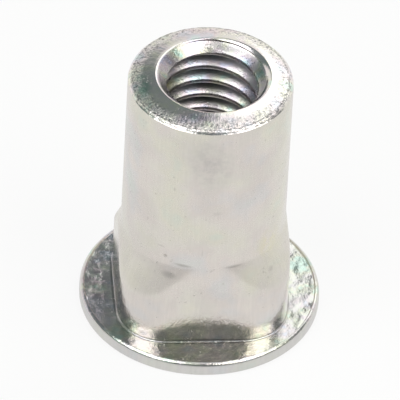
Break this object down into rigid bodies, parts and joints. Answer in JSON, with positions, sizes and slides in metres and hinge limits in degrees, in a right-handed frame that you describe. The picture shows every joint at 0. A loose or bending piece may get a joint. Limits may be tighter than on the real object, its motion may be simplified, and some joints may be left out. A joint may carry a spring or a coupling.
{
  "type": "rivet nut",
  "caption": "Flat-head blind rivet nut with a rounded square foot, a round crowned shank, a counterbored sleeve and a tapped bore.",
  "frame": {"origin": "centre of the head's outer face, on the bore axis", "axes": "+Z along the bore axis from the head to the shank's free end; +X and +Y square to the flats of the foot"},
  "size_m": [0.0132, 0.0132, 0.016],
  "materials": {
    "plated_steel": "bright zinc plate with a clear passivate, satin on the shank"
  },
  "bodies": {
    "root": {"rivet_nut": "plated_steel"}
  },
  "joints": []
}
